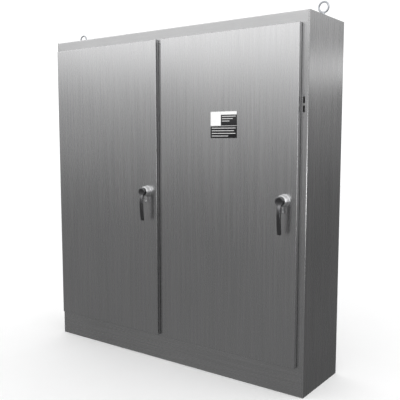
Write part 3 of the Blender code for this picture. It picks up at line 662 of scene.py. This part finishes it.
@dataclass
class Door:
    """A door pan with rolled edges and a clearance hole for the handle's spindle."""

    side: Side
    sheet: float = 0.0027
    bend: float = 0.0042
    bend_steps: int = 5
    hole_radius: float = 0.0085

    def build(self, finishes: Finishes) -> Shape:
        """Builds the pan and hangs it on its hinge.

        Args:
            finishes: The set of finishes.

        Returns:
            The door.
        """
        node = f"{self.side.value}_door"
        low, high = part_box(node)
        pan = hollowed(block(f"{node}_pan", low, high), (0, 1, 0), self.sheet)
        self.roll(pan, low)
        spindle_low, spindle_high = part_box(f"{self.side.value}_latch_pinion")
        axis = (spindle_low + spindle_high) / 2
        drill = bar("drill", self.hole_radius, Vector((axis.x, low.y - 0.01, axis.z)),
                    Vector((axis.x, low.y + 0.01, axis.z)))
        fused(pan, "DIFFERENCE", drill)
        smooth(pan)
        return placed(pan, finishes.door, node, "door_stainless", node)

    def roll(self, pan: Shape, low: Vector) -> None:
        """Rolls the edges round the front face and the pan's corners.

        Args:
            pan: The tray that is the door.
            low: The door's lowest corner.
        """
        inside = low.y + self.sheet

        def outer(edge: bmesh.types.BMEdge) -> bool:
            """Says whether an edge borders the front face."""
            return all(abs(vertex.co.y - low.y) < FIT / 3 for vertex in edge.verts)

        def inner(edge: bmesh.types.BMEdge) -> bool:
            """Says whether an edge borders the pan's floor."""
            return all(abs(vertex.co.y - inside) < FIT / 3 for vertex in edge.verts)

        choose(pan)
        bpy.ops.object.mode_set(mode="EDIT")
        for test, radius in ((outer, self.bend), (inner, self.bend - self.sheet)):
            pick(pan, Element.EDGE, test)
            bpy.ops.mesh.bevel(offset=radius, segments=self.bend_steps, affect="EDGES", profile=0.5)
        bpy.ops.object.mode_set(mode="OBJECT")


@dataclass
class Handle:
    """A lever handle: a fixed cast base with a padlock lug, and the lever that turns on it."""

    side: Side
    flange: float = 0.005
    front_radius: float = 0.027
    bore: float = 0.0085
    lug_hole: float = 0.006
    lug_depth: float = 0.024
    lug_start: float = 0.008
    lug_width: float = 0.008
    head_length: float = 0.018
    head_radius: float = 0.027
    spindle_radius: float = 0.008
    arm_width: float = 0.024
    arm_thickness: float = 0.019
    arm_rise: float = 0.0142
    arm_kink: float = 0.075
    arm_stations: int = 14
    arm_rounding: float = 0.0055

    def build(self, finishes: Finishes) -> tuple[Shape, Shape]:
        """Builds the base and the lever.

        Args:
            finishes: The set of finishes.

        Returns:
            The base and the lever.
        """
        side = self.side.value
        base_node, lever_node = f"{side}_handle_base", f"{side}_handle_lever"
        low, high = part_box(base_node)
        lever_low, lever_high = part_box(lever_node)
        axis = Vector(((low.x + high.x) / 2, high.y, high.z - (high.x - low.x) / 2))
        base = placed(self.base(low, high, axis), finishes.chrome, f"{side}_door", "handle_chrome", base_node)
        lever = self.lever(lever_low, lever_high, low.y, axis)
        placed(lever, finishes.lever, f"{side}_handle", "handle_chrome", lever_node)
        return base, lever

    def base(self, low: Vector, high: Vector, axis: Vector) -> Shape:
        """Builds the fixed base with its lug.

        Args:
            low: The base's lowest corner.
            high: Its highest corner.
            axis: The spindle's axis where it meets the door.

        Returns:
            The base.
        """
        radius = (high.x - low.x) / 2
        length = high.y - low.y
        lip = self.flange / 4
        profile = [
            (self.bore, 0), (radius - lip, 0), (radius, lip), (radius, self.flange - lip),
            (radius - lip, self.flange), (radius - 2 * lip, self.flange),
            (radius - 1.5 * lip, 2 * self.flange), (radius - 2 * lip, length * 0.62),
            (radius - self.flange, length * 0.74), (self.front_radius + 3 * lip, length * 0.88),
            (self.front_radius + lip, length - 2 * lip), (self.front_radius, length - lip / 2),
            (self.front_radius - lip, length), (self.bore, length),
        ]
        front = Vector((0, -1, 0))
        base = spun(f"{self.side.value}_handle_boss", profile, axis, front, 72)
        half = self.lug_width / 2
        outer = axis.y - self.lug_start - self.lug_depth
        top = (axis.x + half, axis.y - self.lug_start, axis.z - radius / 2)
        lug = block("lug", (axis.x - half, outer, low.z), top)
        rounded(lug, half / 3, 3)
        middle = Vector((axis.x, (outer + axis.y - self.lug_start) / 2, low.z + self.lug_depth / 2))
        across = Vector((self.lug_width, 0, 0))
        fused(base, "UNION", lug)
        fused(base, "DIFFERENCE", bar("shackle", self.lug_hole, middle - across, middle + across, 40))
        return smooth(base)

    def lever(self, low: Vector, high: Vector, base_front: float, axis: Vector) -> Shape:
        """Builds the head, arm and spindle.

        Args:
            low: The lever's lowest corner.
            high: Its highest corner.
            base_front: How far forward the base reaches.
            axis: The spindle's axis where it meets the door.

        Returns:
            The lever.
        """
        start = axis.y - base_front + 0.002
        end = start + self.head_length
        rim = self.head_length / 5
        profile = [
            (0, start), (self.head_radius - rim / 3, start), (self.head_radius, start + rim / 3),
            (self.head_radius, end - rim), (self.head_radius - rim / 3, end - rim / 3),
            (self.head_radius - rim, end - rim / 8), (self.head_radius - 1.4 * rim, end),
            (self.head_radius - 2.0 * rim, end - rim / 5), (0, end - rim / 5),
        ]
        name = f"{self.side.value}_lever_casting"
        head = spun(name, profile, axis, Vector((0, -1, 0)), 72)
        spindle = bar("spindle", self.spindle_radius, Vector((axis.x, axis.y - start - rim, axis.z)),
                      Vector((axis.x, high.y, axis.z)))
        arm = self.arm(axis, start + self.head_length / 2, axis.z - low.z)
        fused(head, "UNION", arm, spindle)
        return smooth(head)

    def arm(self, axis: Vector, out: float, reach: float) -> Shape:
        """Extrudes the arm down from the head, out round its kink and back to its tip.

        Args:
            axis: The spindle's axis where it meets the door.
            out: How far the arm's middle stands out at the head.
            reach: How far the tip hangs below the axis.

        Returns:
            The arm.
        """
        half = self.arm_width / 2
        deep = self.arm_thickness * 0.42
        step = reach / self.arm_stations
        arm = block("arm", (axis.x - half, axis.y - out - deep, axis.z - step),
                    (axis.x + half, axis.y - out + deep, axis.z))
        choose(arm)
        bpy.ops.object.mode_set(mode="EDIT")
        pick(arm, Element.FACE, facing((0, 0, -1)))
        for station in range(1, self.arm_stations):
            rise = self.rise_at((station + 1) * step, reach) - self.rise_at(station * step, reach)
            move = {"value": (0, -rise, -step)}
            bpy.ops.mesh.extrude_region_move(TRANSFORM_OT_translate=move)
            last = station == self.arm_stations - 1
            bpy.ops.transform.resize(value=(0.94 if last else 0.996, 0.90 if last else 1.0, 1.0))
        bpy.ops.object.mode_set(mode="OBJECT")
        return rounded(arm, self.arm_rounding, 4)

    def rise_at(self, drop: float, reach: float) -> float:
        """Gives how far the arm has come forward at a given drop.

        Args:
            drop: The distance below the axis.
            reach: The arm's whole drop.

        Returns:
            The distance forward of the head.
        """
        if drop < self.arm_kink:
            return self.arm_rise * math.sin(drop / self.arm_kink * math.pi / 2)
        past = (drop - self.arm_kink) / (reach - self.arm_kink)
        return self.arm_rise * (1.0 - 0.7 * past * past)


@dataclass
class LiftingEye:
    """A forged eye bolt on the roof: ring, flared neck and collar."""

    side: Side
    ring_radius: float = 0.0290
    bar_radius: float = 0.0055
    neck_radius: float = 0.008
    collar_radius: float = 0.014
    collar_height: float = 0.006
    shank_radius: float = 0.0063

    def build(self, finishes: Finishes) -> Shape:
        """Builds the eye bolt.

        Args:
            finishes: The set of finishes.

        Returns:
            The eye bolt.
        """
        node = f"lifting_eye_{self.side.value}"
        low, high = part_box(node)
        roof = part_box("roof_panel")[1].z + FIT
        middle = (low + high) / 2
        centre = Vector((middle.x, middle.y, high.z - self.ring_radius - self.bar_radius))
        bpy.ops.mesh.primitive_torus_add(
            location=centre, rotation=(math.pi / 2, 0, 0), major_segments=72, minor_segments=24,
            major_radius=self.ring_radius, minor_radius=self.bar_radius
        )
        ring = named(f"{node}_forging")
        foot = centre.z - self.ring_radius - roof
        lip = self.collar_height / 4
        profile = [
            (0, low.z - roof), (self.shank_radius, low.z - roof), (self.shank_radius, 0),
            (self.collar_radius - lip, 0), (self.collar_radius, lip),
            (self.collar_radius, self.collar_height - lip), (self.collar_radius - lip, self.collar_height),
            (self.neck_radius + lip, self.collar_height + lip), (self.neck_radius, foot * 0.75),
            (self.neck_radius * 0.8, foot), (0, foot),
        ]
        bolt = spun("bolt", profile, Vector((centre.x, centre.y, roof)), Vector((0, 0, 1)), 48)
        fused(ring, "UNION", bolt)
        return placed(smooth(ring), finishes.zinc, "root", "plated_steel", node)


@dataclass
class HexNuts:
    """The hexagon nuts on the studs, each with its two chamfered faces."""

    bore_share: float = 0.62
    chamfer: float = 0.0007

    def build(self, finishes: Finishes) -> None:
        """Builds a nut in place of each CAD nut.

        Args:
            finishes: The set of finishes.
        """
        for node in sorted(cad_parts):
            if "nut" in node:
                placed(self.nut(node), finishes.zinc, "root", "plated_steel", node)

    def nut(self, node: str) -> Shape:
        """Builds one nut where its CAD node is.

        Args:
            node: The CAD nut.

        Returns:
            The nut.
        """
        low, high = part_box(node)
        size, middle = high - low, (low + high) / 2
        axis = Vector([1.0 if part == min(size) else 0.0 for part in size])
        half = axis * min(size) / 2
        radius = max(size) / 2
        body = bar(f"{node}_hexagon", radius, middle - half, middle + half, 6)
        self.line_up(body, low, high, middle, axis)
        crown = spun("crown", [(0, -min(size)), (radius - self.chamfer, -min(size) / 2),
                               (radius + self.chamfer, -min(size) / 2 + 2 * self.chamfer),
                               (radius + self.chamfer, min(size) / 2 - 2 * self.chamfer),
                               (radius - self.chamfer, min(size) / 2), (0, min(size))], middle, axis, 48)
        fused(body, "INTERSECT", crown)
        hole = sorted(size)[1] / 2 * self.bore_share
        fused(body, "DIFFERENCE", bar("bore", hole, middle - 2 * half, middle + 2 * half, 32))
        return smooth(body)

    def line_up(self, body: Shape, low: Vector, high: Vector, middle: Vector, axis: Vector) -> None:
        """Turns a nut by half a corner if it doesn't lie in its box as the CAD nut does.

        Args:
            body: The new nut.
            low: The CAD nut's lowest corner.
            high: The CAD nut's highest corner.
            middle: The nut's middle.
            axis: The nut's axis.
        """
        size = high - low
        if all(abs(a - b) < FIT for a, b in zip(body.dimensions, size)):
            return
        choose(body)
        bpy.ops.object.mode_set(mode="EDIT")
        bpy.ops.mesh.select_all(action="SELECT")
        name = "XYZ"[[round(part) for part in axis].index(1)]
        bpy.ops.transform.rotate(value=math.radians(30), orient_axis=name, center_override=middle)
        bpy.ops.object.mode_set(mode="OBJECT")


@dataclass
class Nameplate:
    """A blank film plate: a pale block, a strip, a divider and plain bars, with nothing written on it."""

    print_height: float = 0.00012
    block_width: float = 0.073
    block_height: float = 0.082
    strip_height: float = 0.019
    divider_height: float = 0.0025
    bar_height: float = 0.0035
    margin: float = 0.008

    def build(self, finishes: Finishes) -> None:
        """Builds the plate and its plain print.

        Args:
            finishes: The set of finishes.
        """
        low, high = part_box("nameplate")
        plate = rounded(block("nameplate_plate", low, high), 0.0004, 2)
        placed(plate, finishes.film, "right_door", "nameplate_black", "nameplate")
        width = high.x - low.x
        split = high.z - self.block_height
        areas = {
            "block": (low.x, split, self.block_width, self.block_height),
            "strip": (low.x + self.block_width, high.z - self.strip_height, width - self.block_width,
                      self.strip_height),
            "divider": (low.x, split - self.divider_height, width, self.divider_height),
        }
        bar_left = low.x + self.block_width + self.margin
        bar_room = width - self.block_width - 2 * self.margin
        for index, share in enumerate((1.0, 0.8, 0.55)):
            z = high.z - self.strip_height - self.margin * (1.4 + 1.7 * index)
            areas[f"upper_bar_{index + 1}"] = (bar_left, z, bar_room * share, self.bar_height)
        for index, share in enumerate((1.0, 0.94, 1.0, 0.7)):
            z = split - self.divider_height - self.margin * (1.7 + 1.9 * index)
            room = width - 2 * self.margin
            areas[f"lower_bar_{index + 1}"] = (low.x + self.margin, z, room * share, self.bar_height)
        for name, (x, z, wide, tall) in areas.items():
            start = (x + FIT, low.y - self.print_height, z + FIT)
            end = (x + wide - FIT, low.y + FIT, z + tall - FIT)
            print_area = rounded(block(f"nameplate_{name}", start, end), 0.00005, 1)
            placed(print_area, finishes.print, "right_door", None)


@dataclass
class DocumentPocket:
    """The moulded tray inside the left door, with a rolled top edge."""

    wall: float = 0.002
    corner: float = 0.0009

    def build(self, finishes: Finishes) -> Shape:
        """Builds the tray.

        Args:
            finishes: The set of finishes.

        Returns:
            The tray.
        """
        low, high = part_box("document_pocket")
        tray = hollowed(block("document_tray", low, high), (0, 0, 1), self.wall)
        rounded(tray, self.corner, 3)
        return placed(tray, finishes.plastic, "left_door", "pocket_plastic", "document_pocket")


@dataclass
class LatchRollers:
    """The nylon rollers at the ends of the latch rods, crowned, with a bore each."""

    bore: float = 0.0035
    edge: float = 0.0015

    def build(self, finishes: Finishes) -> None:
        """Builds the four rollers.

        Args:
            finishes: The set of finishes.
        """
        for side in Side:
            for end in ("upper", "lower"):
                node = f"{side.value}_latch_roller_{end}"
                low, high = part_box(node)
                radius, half = (high.z - low.z) / 2, (high.x - low.x) / 2
                shoulder, rim = radius - self.edge, radius - self.edge / 3
                profile = [
                    (self.bore, -half), (shoulder, -half), (rim, self.edge - half), (radius, 0),
                    (rim, half - self.edge), (shoulder, half), (self.bore, half),
                ]
                roller = spun(f"{node}_wheel", profile, (low + high) / 2, Vector((1, 0, 0)), 48)
                placed(roller, finishes.nylon, f"{side.value}_roller_{end}", "roller_plastic", node)


# Studio


@dataclass
class Studio:
    """A pale floor, soft light and the camera."""

    camera_place: Point = (2.4091, -3.1625, 1.4607)
    camera_tilt: float = 84.0
    camera_turn: float = 36.01
    lens: float = 53.5
    floor_half: float = 14.0
    dim_behind: float = 0.60
    room_light: float = 1.15
    mirrored_room: tuple[tuple[float, float], ...] = (
        (0.0, 0.20), (0.42, 0.20), (0.52, 0.40), (0.64, 0.40), (0.80, 2.0), (1.0, 2.0),
    )
    floor_thickness: float = 0.02
    floor_gap: float = 0.0005

    def build(self) -> None:
        """Sets up the floor, light and camera."""
        self.floor()
        self.sky()
        self.softbox("key_light", (-2.6, -3.4, 3.4), (0.0, 0.0, 1.2), 3.0, 3.0, 12.0).visible_glossy = False
        self.softbox("fill_light", (4.6, 0.8, 3.0), (0.9, 0.0, 1.2), 2.0, 2.0, 6.0)
        self.softbox("handle_light", (4.3, -2.2, 0.95), (0.4, -0.3, 1.1), 1.0, 1.0, 12.0)
        self.softbox("band_light", (2.7, 3.6, 2.30), (0.99, 0.0, 1.95), 2.6, 0.34, 2.1)
        self.camera()
        bpy.context.scene.view_settings.view_transform = "Standard"

    def floor(self) -> None:
        """Lays the plain pale floor."""
        half = self.floor_half
        ground = block("studio_floor", (-half, -half, -self.floor_thickness), (half, half, -self.floor_gap))
        paper = Coating("floor_paper", (0.93, 0.93, 0.93), 0.9, 0.004, 30.0, 0.00001)
        ground.data.materials.append(paper.make())
        ground.visible_glossy = False

    def sky(self) -> None:
        """Lights the room evenly, and gives bright metal a light upper and a dim lower half to mirror."""
        world = bpy.data.worlds.new("studio_room")
        bpy.context.scene.world = world
        world.use_nodes = True
        tree = world.node_tree
        room = tree.nodes["Background"]
        room.inputs["Color"].default_value = (1.0, 1.0, 1.0, 1.0)
        room.inputs["Strength"].default_value = self.room_light
        way = tree.nodes.new("ShaderNodeTexCoord")
        split = tree.nodes.new("ShaderNodeSeparateXYZ")
        height = tree.nodes.new("ShaderNodeMapRange")
        height.inputs["From Min"].default_value = -0.5
        height.inputs["From Max"].default_value = 0.5
        ramp = tree.nodes.new("ShaderNodeValToRGB")
        for index, (place, value) in enumerate(self.mirrored_room):
            stop = ramp.color_ramp.elements[0] if index == 0 else ramp.color_ramp.elements.new(place)
            stop.position = place
            stop.color = (value, value, value, 1.0)
        ramp.color_ramp.elements.remove(ramp.color_ramp.elements[len(self.mirrored_room)])
        mirrored = tree.nodes.new("ShaderNodeBackground")
        behind = tree.nodes.new("ShaderNodeMapRange")
        behind.inputs["From Min"].default_value = -0.3
        behind.inputs["From Max"].default_value = 0.5
        behind.inputs["To Min"].default_value = 1.0
        behind.inputs["To Max"].default_value = self.dim_behind
        path = tree.nodes.new("ShaderNodeLightPath")
        mix = tree.nodes.new("ShaderNodeMixShader")
        links = tree.links
        links.new(way.outputs["Generated"], split.inputs[0])
        links.new(split.outputs["Z"], height.inputs["Value"])
        links.new(height.outputs["Result"], ramp.inputs["Fac"])
        links.new(ramp.outputs["Color"], mirrored.inputs["Color"])
        links.new(split.outputs["Y"], behind.inputs["Value"])
        links.new(behind.outputs["Result"], mirrored.inputs["Strength"])
        links.new(path.outputs["Is Glossy Ray"], mix.inputs["Fac"])
        links.new(room.outputs[0], mix.inputs[1])
        links.new(mirrored.outputs[0], mix.inputs[2])
        links.new(mix.outputs[0], tree.nodes["World Output"].inputs["Surface"])

    def softbox(
        self, name: str, place: Point, aim: Point, width: float, height: float, power: float
    ) -> Shape:
        """Hangs a soft light.

        Args:
            name: The light's name.
            place: Where it hangs.
            aim: What it points at.
            width: Its width.
            height: Its height.
            power: Its power in watts.

        Returns:
            The light.
        """
        lamp = bpy.data.lights.new(name, "AREA")
        lamp.shape = "RECTANGLE"
        lamp.size = width
        lamp.size_y = height
        lamp.energy = power
        holder = bpy.data.objects.new(name, lamp)
        holder.location = place
        holder.rotation_euler = (Vector(aim) - Vector(place)).to_track_quat("-Z", "Y").to_euler()
        bpy.context.scene.collection.objects.link(holder)
        return holder

    def camera(self) -> None:
        """Sets the camera at a standing person's eye height, off the right front corner."""
        eye = bpy.data.cameras.new("studio_camera")
        eye.lens = self.lens
        holder = bpy.data.objects.new("studio_camera", eye)
        holder.location = self.camera_place
        holder.rotation_euler = (math.radians(self.camera_tilt), 0.0, math.radians(self.camera_turn))
        bpy.context.scene.collection.objects.link(holder)
        bpy.context.scene.camera = holder


def main() -> None:
    """Builds the enclosure's finished look, sub-assembly by sub-assembly."""
    logging.basicConfig(level=logging.INFO, format="%(message)s")
    finishes = Finishes.mix()
    Body().dress(finishes)
    for side in Side:
        Door(side).build(finishes)
        Handle(side).build(finishes)
        LiftingEye(side).build(finishes)
    HexNuts().build(finishes)
    Nameplate().build(finishes)
    DocumentPocket().build(finishes)
    LatchRollers().build(finishes)
    Studio().build()


if __name__ == "__main__":
    main()
